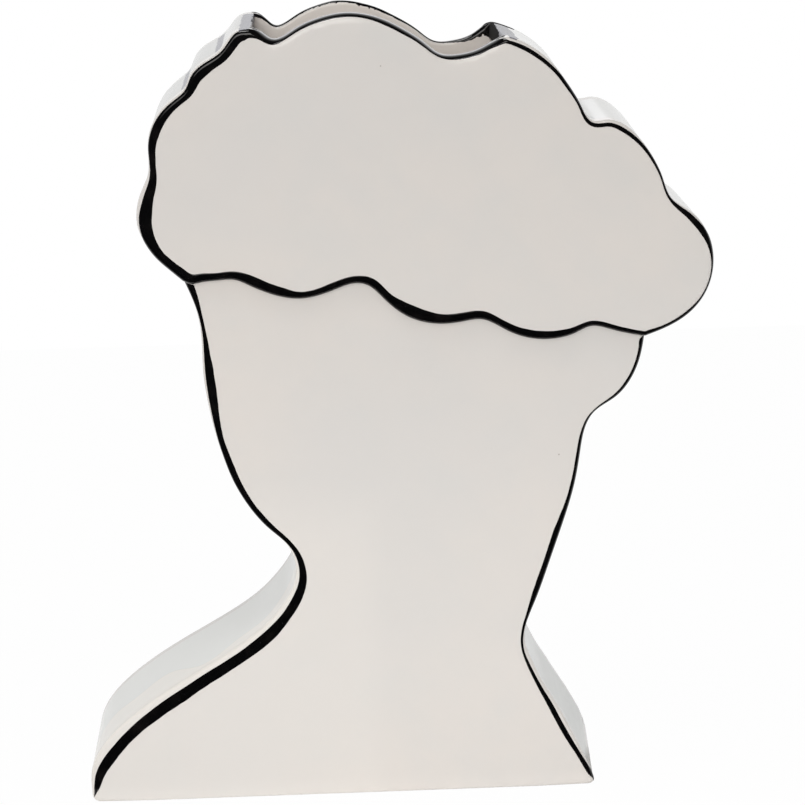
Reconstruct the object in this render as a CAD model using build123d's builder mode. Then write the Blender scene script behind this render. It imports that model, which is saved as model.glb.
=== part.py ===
"""A flat ceramic vase in the outline of a head and shoulders with lobed hair.

A front and a back stand apart, joined by a ribbon of clay down each side and by a base. Each of them is a
face panel with a thicker hair panel above it, which meet along the wavy hairline. The top between the peaks
of the hair stays open. Painted glaze lines follow the edges.
X runs to the right, Y to the back and Z up. The origin is under the middle of the vase, on the ground.
"""
from build123d import *
import os

os.makedirs("parts", exist_ok=True)

# Driving dimensions in millimetres
VASE_WIDTH = 276.0
VASE_HEIGHT = 346.0
VASE_DEPTH = 74.0
WALL = 6.5
BASE_THICKNESS = 8.0
HAIR_RELIEF = 3.0
MOUTH_LIP = 1.0

# Softened edges
EDGE_ROUND = 2.2
BASE_CORNER = 4.2

# Foot
FOOT_RIM = 12.0
FOOT_RECESS = 2.0

# Painted glaze
GLAZE = 0.4
STROKE_INSET = 2.4
BROAD_STROKE = 5.0

# How far a cutting sketch runs past the vase
OVERRUN = 20.0

# Corners of the outline as shares of the width and the height
LEFT_PEAK_SHARE = (-0.200, 0.984)
RIGHT_PEAK_SHARE = (0.188, 0.967)
LEFT_TEMPLE_SHARE = (-0.315, 0.681)
RIGHT_TEMPLE_SHARE = (0.395, 0.594)
LEFT_FOOT_SHARE = (-0.500, 0.0)
RIGHT_FOOT_SHARE = (0.327, 0.0)

# Points between the corners, each with the painted stroke there as a share of the broad stroke
HAIR_LEFT_SHARES = [
    (-0.219, 0.983, 0.60), (-0.236, 0.972, 0.65), (-0.249, 0.961, 0.60), (-0.276, 0.948, 0.95),
    (-0.296, 0.932, 0.90), (-0.305, 0.917, 0.55), (-0.318, 0.908, 0.55), (-0.338, 0.894, 0.65),
    (-0.356, 0.870, 0.60), (-0.360, 0.843, 0.25), (-0.360, 0.814, 0.20), (-0.372, 0.792, 0.70),
    (-0.380, 0.771, 0.85), (-0.380, 0.749, 0.80), (-0.370, 0.729, 0.55), (-0.355, 0.711, 0.30),
    (-0.336, 0.696, 0.35),
]
MOUTH_SHARES = [
    (-0.186, 0.981, 0.20), (-0.166, 0.970, 0.20), (-0.131, 0.981, 0.20), (-0.099, 0.992, 0.20),
    (-0.065, 0.998, 0.20), (-0.030, 0.997, 0.20), (0.004, 0.989, 0.20), (0.035, 0.976, 0.20),
    (0.064, 0.960, 0.20), (0.088, 0.946, 0.20), (0.118, 0.945, 0.20), (0.141, 0.949, 0.20),
    (0.162, 0.957, 0.20),
]
HAIR_RIGHT_SHARES = [
    (0.218, 0.958, 0.20), (0.245, 0.944, 0.20), (0.267, 0.926, 0.20), (0.285, 0.904, 0.20),
    (0.301, 0.882, 0.20), (0.318, 0.864, 0.20), (0.338, 0.865, 0.20), (0.359, 0.861, 0.30),
    (0.388, 0.842, 0.20), (0.408, 0.818, 0.20), (0.422, 0.793, 0.20), (0.435, 0.766, 0.20),
    (0.469, 0.745, 0.20), (0.490, 0.723, 0.20), (0.500, 0.695, 0.20), (0.498, 0.667, 0.20),
    (0.484, 0.640, 0.20), (0.460, 0.619, 0.20), (0.428, 0.604, 0.20),
]
HAIRLINE_SHARES = [
    (-0.304, 0.677, 0.50), (-0.287, 0.678, 0.35), (-0.259, 0.680, 0.20), (-0.237, 0.680, 0.30),
    (-0.213, 0.672, 0.45), (-0.178, 0.660, 0.40), (-0.137, 0.654, 0.20), (-0.105, 0.658, 0.20),
    (-0.076, 0.666, 0.25), (-0.052, 0.671, 0.20), (-0.035, 0.669, 0.30), (-0.007, 0.650, 0.20),
    (0.029, 0.627, 0.65), (0.075, 0.617, 0.45), (0.114, 0.619, 0.35), (0.141, 0.621, 0.35),
    (0.181, 0.606, 0.20), (0.227, 0.594, 0.30), (0.258, 0.594, 0.25), (0.287, 0.600, 0.20),
    (0.312, 0.608, 0.20), (0.335, 0.605, 0.20), (0.361, 0.599, 0.20),
]
FACE_LEFT_SHARES = [
    (-0.297, 0.641, 0.20), (-0.291, 0.600, 0.20), (-0.291, 0.563, 0.45), (-0.286, 0.526, 0.40),
    (-0.278, 0.491, 0.20), (-0.266, 0.455, 0.20), (-0.251, 0.421, 0.20), (-0.229, 0.389, 0.20),
    (-0.200, 0.360, 0.20), (-0.169, 0.334, 0.20), (-0.159, 0.296, 0.45), (-0.188, 0.251, 0.75),
    (-0.233, 0.217, 0.90), (-0.286, 0.189, 0.90), (-0.338, 0.164, 1.00), (-0.390, 0.138, 1.00),
    (-0.440, 0.108, 1.00), (-0.483, 0.071, 1.00), (-0.499, 0.042, 0.80), (-0.500, 0.013, 0.20),
]
FACE_RIGHT_SHARES = [
    (0.388, 0.565, 0.20), (0.373, 0.537, 0.20), (0.349, 0.515, 0.20), (0.315, 0.496, 0.20),
    (0.302, 0.478, 0.20), (0.294, 0.449, 0.20), (0.285, 0.408, 0.20), (0.266, 0.356, 0.20),
    (0.244, 0.305, 0.20), (0.221, 0.254, 0.20), (0.204, 0.202, 0.20), (0.217, 0.170, 0.20),
    (0.235, 0.140, 0.25), (0.257, 0.110, 0.45), (0.277, 0.080, 0.55), (0.297, 0.050, 0.45),
    (0.320, 0.013, 0.40),
]


def place(share):
    """Turn a point given as shares into millimetres."""
    return (share[0] * VASE_WIDTH, share[1] * VASE_HEIGHT)


def stretch(start, shares, end):
    """List the points of one stretch of the outline from its start to its end."""
    return [start] + [place(share) for share in shares] + [end]


def inset(points, distances, side):
    """Move points off their curve by the distances, to its right, or with side -1 to its left."""
    curve = Spline(*points)
    moved = []
    for point, distance in zip(points, distances):
        along = curve.tangent_at(curve.param_at_point(point))
        moved.append((point[0] + side * along.Y * distance, point[1] - side * along.X * distance))
    return moved


def wall_inside(hair, face, side):
    """List the points inside one side wall, from its end at the mouth down to the ground."""
    return inset(hair, [WALL] * len(hair), side) + inset(face, [WALL] * len(face), side)


left_peak = place(LEFT_PEAK_SHARE)
right_peak = place(RIGHT_PEAK_SHARE)
left_temple = place(LEFT_TEMPLE_SHARE)
right_temple = place(RIGHT_TEMPLE_SHARE)
left_foot = place(LEFT_FOOT_SHARE)
right_foot = place(RIGHT_FOOT_SHARE)
hair_left = stretch(left_peak, HAIR_LEFT_SHARES, left_temple)
mouth = stretch(left_peak, MOUTH_SHARES, right_peak)
hair_right = stretch(right_peak, HAIR_RIGHT_SHARES, right_temple)
hairline = stretch(left_temple, HAIRLINE_SHARES, right_temple)
face_left = stretch(left_temple, FACE_LEFT_SHARES, left_foot)
face_right = stretch(right_temple, FACE_RIGHT_SHARES, right_foot)

# Planes of the front, each at its distance before the middle of the vase, facing forwards
hair_plane = Plane.XZ.offset(VASE_DEPTH / 2)
face_plane = Plane.XZ.offset(VASE_DEPTH / 2 - HAIR_RELIEF)
inner_plane = Plane.XZ.offset(VASE_DEPTH / 2 - HAIR_RELIEF - WALL)
rim_plane = Plane.XZ.offset(VASE_DEPTH / 2 - EDGE_ROUND)
inner_depth = VASE_DEPTH - 2 * (HAIR_RELIEF + WALL)
rim_depth = VASE_DEPTH - 2 * EDGE_ROUND


# The whole outline of the vase
with BuildSketch() as vase_shape:
    with BuildLine():
        Spline(*hair_left)
        Spline(*mouth)
        Spline(*hair_right)
        Spline(*face_right)
        Line(right_foot, left_foot)
        Spline(*face_left)
    make_face()

# The hair, closed below by the hairline
with BuildSketch() as hair_shape:
    with BuildLine():
        Spline(*hair_left)
        Spline(*mouth)
        Spline(*hair_right)
        Spline(*hairline)
    make_face()

# The face, neck and shoulders, closed above by the hairline
with BuildSketch() as face_shape:
    with BuildLine():
        Spline(*hairline)
        Spline(*face_right)
        Line(right_foot, left_foot)
        Spline(*face_left)
    make_face()

# The hollow: the outline less the wall, run out through the mouth and down to the ground
wall_left = wall_inside(hair_left[:-1], face_left, -1)
wall_right = wall_inside(hair_right[:-1], face_right, 1)
with BuildSketch() as hollow_shape:
    with BuildLine():
        Spline(*wall_left)
        Spline(*wall_right)
        Line(wall_left[-1], wall_right[-1])
        Polyline(
            wall_left[0],
            (left_peak[0] + MOUTH_LIP, left_peak[1]),
            (left_peak[0] + MOUTH_LIP, VASE_HEIGHT + OVERRUN),
            (right_peak[0] - MOUTH_LIP, VASE_HEIGHT + OVERRUN),
            (right_peak[0] - MOUTH_LIP, right_peak[1]),
            wall_right[0],
        )
    make_face()


# Hair panel: thicker than the face panel, with its front edge rounded all the way round
with BuildPart() as front_hair_panel:
    with BuildSketch(inner_plane):
        add(hair_shape.sketch)
    extrude(amount=WALL + HAIR_RELIEF)
    fillet(front_hair_panel.faces().sort_by(Axis.Y)[0].edges(), radius=EDGE_ROUND)

# Face panel: round at the base corners and along every front edge but the hairline, which stands highest
with BuildPart() as front_face_panel:
    with BuildSketch(inner_plane):
        add(face_shape.sketch)
    extrude(amount=WALL)
    fillet(front_face_panel.edges().filter_by(Axis.Y).group_by(Axis.Z)[0], radius=BASE_CORNER)
    face_edges = front_face_panel.faces().sort_by(Axis.Y)[0].edges()
    fillet(face_edges.sort_by(lambda edge: edge.bounding_box().max.Z)[:-1], radius=EDGE_ROUND)


def side_wall(side):
    """Build one ribbon of wall, from the base up to its end of the mouth."""
    with BuildPart() as wall:
        with BuildSketch(inner_plane):
            add(vase_shape.sketch)
            add(hollow_shape.sketch, mode=Mode.SUBTRACT)
            with Locations((side * VASE_WIDTH / 2, BASE_THICKNESS + VASE_HEIGHT / 2)):
                Rectangle(VASE_WIDTH, VASE_HEIGHT, mode=Mode.INTERSECT)
        extrude(amount=-inner_depth)
    return wall


left_side_wall = side_wall(-1)
right_side_wall = side_wall(1)

# Base: between the panels, hollowed underneath so that the vase stands on a rim
with BuildPart() as base_slab:
    with BuildSketch(inner_plane):
        add(vase_shape.sketch)
        with Locations((0, BASE_THICKNESS / 2)):
            Rectangle(VASE_WIDTH, BASE_THICKNESS, mode=Mode.INTERSECT)
    extrude(amount=-inner_depth)
    fillet(base_slab.edges().filter_by(Axis.Y).group_by(Axis.Z)[0], radius=BASE_CORNER)
    with BuildSketch(inner_plane):
        with Locations(((left_foot[0] + right_foot[0]) / 2, FOOT_RECESS / 2)):
            Rectangle(right_foot[0] - left_foot[0] - 2 * FOOT_RIM, FOOT_RECESS)
    extrude(amount=-inner_depth, mode=Mode.SUBTRACT)


def stroke_edges(points, shares, side):
    """List the outer and the inner edge of a brush stroke beside all but the first and the last point."""
    widths = [STROKE_INSET + share[2] * BROAD_STROKE for share in shares]
    outer = inset(points, [STROKE_INSET] * len(points), side)
    inner = inset(points, [STROKE_INSET, *widths, STROKE_INSET], side)
    return outer[1:-1], inner[1:-1]


# Painted line round the hair, on the flat front of the panel
left_edges = stroke_edges(hair_left, HAIR_LEFT_SHARES, -1)
mouth_edges = stroke_edges(mouth, MOUTH_SHARES, 1)
right_edges = stroke_edges(hair_right, HAIR_RIGHT_SHARES, 1)
lower_edges = stroke_edges(hairline, HAIRLINE_SHARES, -1)


def hair_loop(edge):
    """Draw the area within the outer or the inner edge of the stroke round the hair."""
    points = left_edges[edge][::-1] + mouth_edges[edge] + right_edges[edge] + lower_edges[edge][::-1]
    with BuildSketch() as loop:
        with BuildLine():
            Spline(*points, periodic=True)
        make_face()
    return loop


hair_line_outside = hair_loop(0)
hair_line_inside = hair_loop(1)
with BuildPart() as front_hair_line:
    with BuildSketch(hair_plane):
        add(hair_line_outside.sketch)
        add(hair_line_inside.sketch, mode=Mode.SUBTRACT)
    extrude(amount=GLAZE)


def face_stroke(points, shares, side):
    """Draw one painted line down the cheek, the neck and the shoulder, from behind the hairline."""
    outer, inner = stroke_edges(points, shares, side)
    with BuildSketch() as stroke:
        with BuildLine():
            Spline(*outer)
            Spline(*inner)
            Line(outer[-1], inner[-1])
            Polyline(
                outer[0],
                (points[0][0] + outer[0][0] - points[1][0], points[0][1] + HAIR_RELIEF),
                (points[0][0] + inner[0][0] - points[1][0], points[0][1] + HAIR_RELIEF),
                inner[0],
            )
        make_face()
        add(hair_shape.sketch, mode=Mode.SUBTRACT)
    return stroke


left_stroke = face_stroke(face_left, FACE_LEFT_SHARES, -1)
right_stroke = face_stroke(face_right, FACE_RIGHT_SHARES, 1)
with BuildPart() as front_face_lines:
    with BuildSketch(face_plane):
        add(left_stroke.sketch)
        add(right_stroke.sketch)
    extrude(amount=GLAZE)

# Glaze on the rim of the mouth: one thin skin over both panels and over the ends of the side walls
with BuildPart() as rim_glaze:
    with BuildSketch(rim_plane):
        with BuildLine():
            Spline(*mouth)
            Line(right_peak, (right_peak[0], right_peak[1] + GLAZE))
            Spline(*[(x, z + GLAZE) for x, z in mouth])
            Line((left_peak[0], left_peak[1] + GLAZE), left_peak)
        make_face()
    extrude(amount=-rim_depth)
    with BuildSketch(inner_plane):
        add(hollow_shape.sketch)
    extrude(amount=-inner_depth, mode=Mode.SUBTRACT)

front_pieces = {
    "hair_panel": front_hair_panel,
    "face_panel": front_face_panel,
    "hair_line": front_hair_line,
    "face_lines": front_face_lines,
}
single_pieces = {
    "left_side_wall": left_side_wall,
    "right_side_wall": right_side_wall,
    "base_slab": base_slab,
    "rim_glaze": rim_glaze,
}

# The back mirrors the front
for name, piece in front_pieces.items():
    with BuildPart() as back_piece:
        mirror(piece.part, about=Plane.XZ)
    piece.part.label = f"front_{name}"
    export_step(piece.part, f"parts/front_{name}.step")
    back_piece.part.label = f"back_{name}"
    export_step(back_piece.part, f"parts/back_{name}.step")

for name, piece in single_pieces.items():
    piece.part.label = name
    export_step(piece.part, f"parts/{name}.step")
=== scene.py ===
"""The flat head-and-shoulders vase: white glazed clay with black lines brushed over its edges.

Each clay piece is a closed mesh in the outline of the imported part, with softened edges and a face that
rounds off gently towards them. The black lines are thin skins of glaze that follow those edges, wrap over
them and vary in width as the brush did. Lengths in the tables and sizes are millimetres unless said.
"""
import logging
import math
from collections.abc import Callable
from dataclasses import dataclass, field
from enum import Enum

import bmesh
import bpy
import numpy as np
from mathutils import Matrix, Vector
from mathutils.geometry import delaunay_2d_cdt


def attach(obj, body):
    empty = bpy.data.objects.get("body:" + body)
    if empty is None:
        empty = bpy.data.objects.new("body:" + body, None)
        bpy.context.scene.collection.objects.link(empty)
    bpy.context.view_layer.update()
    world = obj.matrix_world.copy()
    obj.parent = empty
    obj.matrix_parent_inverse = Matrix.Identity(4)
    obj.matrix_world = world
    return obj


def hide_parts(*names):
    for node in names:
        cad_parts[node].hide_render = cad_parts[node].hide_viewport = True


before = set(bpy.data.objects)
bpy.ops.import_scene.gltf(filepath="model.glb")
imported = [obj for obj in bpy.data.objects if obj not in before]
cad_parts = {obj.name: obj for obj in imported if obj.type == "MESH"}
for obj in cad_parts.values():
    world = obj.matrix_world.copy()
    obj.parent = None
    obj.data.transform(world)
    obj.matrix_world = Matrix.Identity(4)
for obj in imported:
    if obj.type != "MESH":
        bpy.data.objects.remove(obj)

MM = 0.001
log = logging.getLogger("face_vase")


class Side(Enum):
    """The two flat sides of the vase, with the sign of Y that they face."""

    FRONT = -1
    BACK = 1


class Stretch(Enum):
    """The stretches of the outline between its corners."""

    HAIR_LEFT = "hair_left"
    MOUTH = "mouth"
    HAIR_RIGHT = "hair_right"
    HAIRLINE = "hairline"
    FACE_LEFT = "face_left"
    FACE_RIGHT = "face_right"


LEFT_PEAK = (-0.200, 0.984)
RIGHT_PEAK = (0.188, 0.967)
LEFT_TEMPLE = (-0.315, 0.681)
RIGHT_TEMPLE = (0.395, 0.594)
LEFT_FOOT = (-0.500, 0.0)
RIGHT_FOOT = (0.327, 0.0)

# Points of the outline as shares of the width and the height, each stretch with its two corners
OUTLINE_SHARES: dict[Stretch, list[tuple[float, float]]] = {
    Stretch.HAIR_LEFT: [
        LEFT_PEAK, (-0.219, 0.983), (-0.236, 0.972), (-0.249, 0.961), (-0.276, 0.948), (-0.296, 0.932),
        (-0.305, 0.917), (-0.318, 0.908), (-0.338, 0.894), (-0.356, 0.870), (-0.360, 0.843),
        (-0.360, 0.814), (-0.372, 0.792), (-0.380, 0.771), (-0.380, 0.749), (-0.370, 0.729),
        (-0.355, 0.711), (-0.336, 0.696), LEFT_TEMPLE,
    ],
    Stretch.MOUTH: [
        LEFT_PEAK, (-0.186, 0.981), (-0.166, 0.970), (-0.131, 0.981), (-0.099, 0.992), (-0.065, 0.998),
        (-0.030, 0.997), (0.004, 0.989), (0.035, 0.976), (0.064, 0.960), (0.088, 0.946), (0.118, 0.945),
        (0.141, 0.949), (0.162, 0.957), RIGHT_PEAK,
    ],
    Stretch.HAIR_RIGHT: [
        RIGHT_PEAK, (0.218, 0.958), (0.245, 0.944), (0.267, 0.926), (0.285, 0.904), (0.301, 0.882),
        (0.318, 0.864), (0.338, 0.865), (0.359, 0.861), (0.388, 0.842), (0.408, 0.818), (0.422, 0.793),
        (0.435, 0.766), (0.469, 0.745), (0.490, 0.723), (0.500, 0.695), (0.498, 0.667), (0.484, 0.640),
        (0.460, 0.619), (0.428, 0.604), RIGHT_TEMPLE,
    ],
    Stretch.HAIRLINE: [
        LEFT_TEMPLE, (-0.304, 0.677), (-0.287, 0.678), (-0.259, 0.680), (-0.237, 0.680), (-0.213, 0.672),
        (-0.178, 0.660), (-0.137, 0.654), (-0.105, 0.658), (-0.076, 0.666), (-0.052, 0.671),
        (-0.035, 0.669), (-0.007, 0.650), (0.029, 0.627), (0.075, 0.617), (0.114, 0.619), (0.141, 0.621),
        (0.181, 0.606), (0.227, 0.594), (0.258, 0.594), (0.287, 0.600), (0.312, 0.608), (0.335, 0.605),
        (0.361, 0.599), RIGHT_TEMPLE,
    ],
    Stretch.FACE_LEFT: [
        LEFT_TEMPLE, (-0.297, 0.641), (-0.291, 0.600), (-0.291, 0.563), (-0.286, 0.526), (-0.278, 0.491),
        (-0.266, 0.455), (-0.251, 0.421), (-0.229, 0.389), (-0.200, 0.360), (-0.169, 0.334),
        (-0.159, 0.296), (-0.188, 0.251), (-0.233, 0.217), (-0.286, 0.189), (-0.338, 0.164),
        (-0.390, 0.138), (-0.440, 0.108), (-0.483, 0.071), (-0.499, 0.042), (-0.500, 0.013), LEFT_FOOT,
    ],
    Stretch.FACE_RIGHT: [
        RIGHT_TEMPLE, (0.388, 0.565), (0.373, 0.537), (0.349, 0.515), (0.315, 0.496), (0.302, 0.478),
        (0.294, 0.449), (0.285, 0.408), (0.266, 0.356), (0.244, 0.305), (0.221, 0.254), (0.204, 0.202),
        (0.217, 0.170), (0.235, 0.140), (0.257, 0.110), (0.277, 0.080), (0.297, 0.050), (0.320, 0.013),
        RIGHT_FOOT,
    ],
}

# How far the hand-built back stands out beyond the front, at even steps along each stretch
BACK_SHIFT: dict[Stretch, list[float]] = {
    Stretch.HAIR_LEFT: [0.7, -0.7, -0.4, -0.7, -0.6, 0.0, 0.0, 0.0, 0.0, 0.0, 0.0, 0.0],
    Stretch.MOUTH: [0.7, -0.1, 0.1, 0.2, -0.8, -1.0, -0.7, -0.5, -0.2, -0.4],
    Stretch.HAIR_RIGHT: [-1.0, -0.9, -0.3, 0.0, 0.0, 0.3, 0.4, 0.0, 0.0, 0.0, 0.0, 0.0, 0.0, 0.0, 0.0, 0.0],
    Stretch.HAIRLINE: [0.0, 0.0],
    Stretch.FACE_LEFT: [0.0] * 12 + [-0.3, -0.8, -1.3, -1.4, -1.2, -0.8, -0.5, -0.2, 0.2, 0.6, 0.8, 0.6],
    Stretch.FACE_RIGHT: [0.0] * 12 + [0.0, -0.2, -0.6, -0.3, 0.6, 0.8, -0.3],
}


@dataclass(frozen=True)
class Paint:
    """Both edges of a brushed line at even steps along its stretch, apart from the shares that are given.

    Zero is where the rounded edge begins; more is further in on the flat, less is further out over the
    rounding and down the side.
    """

    steps: int
    outer: list[float]
    inner: list[float]
    shares: dict[int, float] = field(default_factory=dict)

    def table(self) -> np.ndarray:
        """Return rows of share, outer and inner edge."""
        share = np.round(np.arange(len(self.outer)) / self.steps, 3)
        share[list(self.shares)] = list(self.shares.values())
        return np.stack([share, self.outer, self.inner], axis=1)


STROKES: dict[Stretch, Paint] = {
    Stretch.HAIR_LEFT: Paint(
        steps=19,
        outer=[
            -2.6, -0.8, 0.0, -0.1, 0.1, 0.0, 0.1, 0.0, -0.3, -0.8, -1.9, -1.9, -0.7, -0.4, -0.9, -1.4, -3.8,
            -4.0, -4.0, -4.0,
        ],
        inner=[
            1.8, 3.4, 3.6, 3.8, 4.9, 4.1, 2.9, 3.4, 3.4, 2.9, 1.3, 0.6, 2.8, 4.2, 4.4, 3.9, 2.5, 1.7, 1.9, 2.2,
        ],
    ),
    Stretch.MOUTH: Paint(
        steps=15,
        outer=[
            -3.6, -4.6, -4.6, -4.6, -4.6, -4.6, -4.6, -4.6, -4.6, -4.6, -4.6, -4.6, -4.6, -4.6, -4.6, -1.5,
        ],
        inner=[
            1.4, 0.5, -1.3, -1.1, -1.0, -1.0, -1.2, -0.9, -0.7, -0.7, -0.9, -1.3, -0.9, -0.9, -0.6, 0.1,
        ],
        shares={1: 0.050, 14: 0.950},
    ),
    Stretch.HAIR_RIGHT: Paint(
        steps=25,
        outer=[
            -0.8, -0.6, -0.4, -0.4, -1.0, -1.3, -1.2, -0.6, -0.1, -0.1, -0.6, -1.4, -1.7, -2.2, -2.2, -1.9,
            -1.3, -2.8, -4.0, -4.0, -4.0, -4.0, -4.0, -4.0, -4.0, -4.0,
        ],
        inner=[
            0.5, 1.0, 1.2, 0.9, 0.4, -0.1, -0.3, 0.8, 1.4, 1.6, 0.8, -0.1, -0.7, -1.2, -1.1, 0.2, 1.3, 0.5,
            -0.7, -1.5, -1.6, -1.2, -0.7, -0.6, -0.6, 0.2,
        ],
    ),
    Stretch.HAIRLINE: Paint(
        steps=28,
        outer=[-4.2] * 29,
        inner=[
            2.3, 2.0, 1.2, 1.8, 2.5, 2.3, 2.0, 1.0, 0.9, 1.4, 1.1, 1.6, 1.1, 2.6, 3.5, 3.1, 2.1, 2.0, 1.9, 0.9,
            1.3, 1.7, 1.6, 1.4, 0.7, 0.2, 0.2, 0.0, -0.1,
        ],
    ),
    Stretch.FACE_LEFT: Paint(
        steps=36,
        outer=[
            -2.6, -2.4, -1.9, -1.6, -1.5, -1.3, -1.3, -1.5, -1.7, -2.1, -2.2, -2.2, -2.2, -2.4, -2.4, -2.4,
            -1.8, -0.9, -0.5, -0.6, 0.0, -0.2, -0.2, 0.0, 0.1, 0.0, 0.1, 0.3, 0.4, 0.6, 0.8, 1.2, 1.4, 1.0,
            0.2, -0.6, -1.2, -1.8, -2.2,
        ],
        inner=[
            1.4, 0.6, -0.4, -0.1, 1.0, 2.3, 2.7, 2.1, 1.2, 0.6, 0.9, 1.0, 0.8, 0.5, 0.7, 0.3, 0.2, 1.4, 2.7,
            3.4, 4.0, 4.7, 5.0, 4.7, 4.8, 4.9, 5.1, 5.6, 5.8, 5.8, 5.7, 5.8, 6.1, 5.9, 4.6, 2.8, 1.0, -0.6,
            -1.6,
        ],
        shares={35: 0.965, 36: 0.980, 37: 0.990, 38: 0.997},
    ),
    Stretch.FACE_RIGHT: Paint(
        steps=28,
        outer=[
            -3.4, -3.4, -3.4, -3.4, -3.4, -3.4, -2.7, -3.2, -3.2, -3.2, -3.2, -3.2, -3.2, -3.2, -3.2, -3.2,
            -3.2, -2.4, -1.4, -0.1, 0.0, -0.1, 0.0, 0.4, 0.6, 0.7, 0.5, 0.3, 0.3, 0.2, -0.2,
        ],
        inner=[
            -0.1, -0.6, -0.6, -0.5, -0.8, -1.4, -1.0, -0.7, -0.5, -0.5, -0.4, 0.0, 0.7, 0.6, 0.5, 0.6, 0.3,
            -0.7, -0.4, 0.7, 1.3, 1.4, 2.0, 2.7, 2.9, 2.7, 2.3, 2.3, 2.1, 1.2, 0.2,
        ],
        shares={27: 0.950, 28: 0.970, 29: 0.985, 30: 0.995},
    ),
}

# How far the front's softened edge stands in from the part's own, at even steps along each stretch
FRONT_SHIFT: dict[Stretch, list[float]] = {
    Stretch.HAIR_LEFT: [0.0, -0.9, -1.5, -1.6, -1.6, -1.5, -1.2, -0.6, 0.0, 0.0, 0.0, 0.0, 0.0, 0.0, 0.0],
    Stretch.HAIR_RIGHT: [0.0, -0.6, -0.9, -0.9, -0.8, -0.8, -0.8, -0.4, 0.0, 0.0, 0.0, 0.0, 0.0, 0.0, 0.0, 0.0],
    Stretch.FACE_RIGHT: [0.0] * 13 + [-0.3, -0.6, -0.8, -0.8, -0.9, -1.3, -2.1, -3.2],
}

# Where the two peaks of the back stand
BACK_PEAKS: dict[Stretch, tuple[float, float]] = {
    Stretch.HAIR_LEFT: (-54.9, 341.3),
    Stretch.HAIR_RIGHT: (49.6, 334.4),
}

# How far the paint of the mouth laps down the inside from the top of the rim, at shares of the mouth
LAPS: dict[Side, list[tuple[float, float]]] = {
    Side.FRONT: [(0.0, 1.2), (0.1, 1.0), (0.3, 0.7), (0.5, 0.9), (0.7, 0.7), (0.85, 1.3), (1.0, 2.0)],
    Side.BACK: [
        (0.00, 1.6), (0.04, 0.9), (0.10, 0.5), (0.20, 0.5), (0.30, 0.6), (0.40, 0.6), (0.50, 0.9), (0.60, 0.6),
        (0.72, 0.2), (0.80, 0.4), (0.86, 1.5), (0.91, 2.2), (0.93, 2.8), (0.955, 3.5), (0.975, 5.0), (1.00, 6.2),
    ],
}


@dataclass(frozen=True)
class Valley:
    """A mark in a valley of the hair: its place and radius, and whether it stays near the front. Those near the front
    are painted reflection of the black line and painted shade; the others are washes of paint.
    """

    x: float
    z: float
    radius: float
    front_reflection: bool = False


# Washes of paint in the left valleys; painted reflection and painted shade near the front of the right ones
VALLEYS = (
    Valley(-68.4, 331.5, 2.0), Valley(-83.3, 316.6, 2.2), Valley(-99.3, 282.2, 0.9),
    Valley(86.6, 299.2, 2.4, front_reflection=True), Valley(120.4, 264.6, 2.0, front_reflection=True),
)


class Tone(Enum):
    """Colours of glaze, paint and table, and of painted light, shade and reflection, as linear red, green and blue."""

    WARM_GLAZE = (0.832, 0.790, 0.746)
    COOL_GLAZE = (0.765, 0.757, 0.735)
    PINHOLE = (0.20, 0.15, 0.11)
    # Warm inner faces, made lighter than the glaze as painted light
    INSIDE = (0.95, 0.895, 0.840)
    # Painted reflection: the creamy band along the front of the side walls, on the shoulder and on the hair
    SHOULDER_REFLECTION_CREAM = (0.96, 0.925, 0.865)
    HAIR_REFLECTION_CREAM = (0.800, 0.765, 0.715)
    # The left shoulder's wall tone, lighter than the hair's as painted light
    SHOULDER_WHITE_PAINTED_LIGHT = (0.90, 0.92, 0.895)
    HAIR_WHITE = (0.785, 0.800, 0.775)
    # The darker edge of the painted reflection band
    REFLECTION_EDGE_CREAM = (0.70, 0.68, 0.61)
    # Painted shade on the upper left of the hair walls and on the right shoulder
    CREST_PAINTED_SHADE = (0.0, 0.0, 0.0)
    GREENISH_PAINTED_SHADE = (0.30, 0.34, 0.29)
    # Washes of paint, and the painted reflection and painted shade in the right valleys
    VALLEY_WASH_AND_SHADE = (0.20, 0.20, 0.25)
    LAVENDER = (0.048, 0.048, 0.085)
    POOL = (0.002, 0.002, 0.002)
    DRY_BRUSH = (0.006, 0.005, 0.005)
    FLECK = (0.06, 0.065, 0.075)
    TABLE = (0.9, 0.9, 0.9)
    TABLE_IN_GLOSS = (0.02, 0.02, 0.02)
    WHITE = (1.0, 1.0, 1.0)


def natural_spline(points: np.ndarray, step: float) -> np.ndarray:
    """Sample the smooth curve through points, straight at both ends.

    Args:
        points: Rows of x and z.
        step: Distance between samples, about.

    Returns:
        Rows of x and z along the curve.
    """
    knots = np.concatenate([[0.0], np.cumsum(np.hypot(*np.diff(points, axis=0).T))])
    gaps = np.diff(knots)
    count = len(points)
    system = np.eye(count)
    right = np.zeros((count, 2))
    slopes = np.diff(points, axis=0) / gaps[:, None]
    for row in range(1, count - 1):
        system[row, row - 1 : row + 2] = gaps[row - 1], 2 * (gaps[row - 1] + gaps[row]), gaps[row]
        right[row] = 6 * (slopes[row] - slopes[row - 1])
    bends = np.linalg.solve(system, right)
    at = np.linspace(0.0, knots[-1], int(round(knots[-1] / step)) + 1)
    piece = np.clip(np.searchsorted(knots, at, side="right") - 1, 0, count - 2)
    gap, after, before = gaps[piece][:, None], (at - knots[piece])[:, None], (knots[piece + 1] - at)[:, None]
    return (
        (bends[piece] * before**3 + bends[piece + 1] * after**3) / (6 * gap)
        + (points[piece] / gap - bends[piece] * gap / 6) * before
        + (points[piece + 1] / gap - bends[piece + 1] * gap / 6) * after
    )


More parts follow.
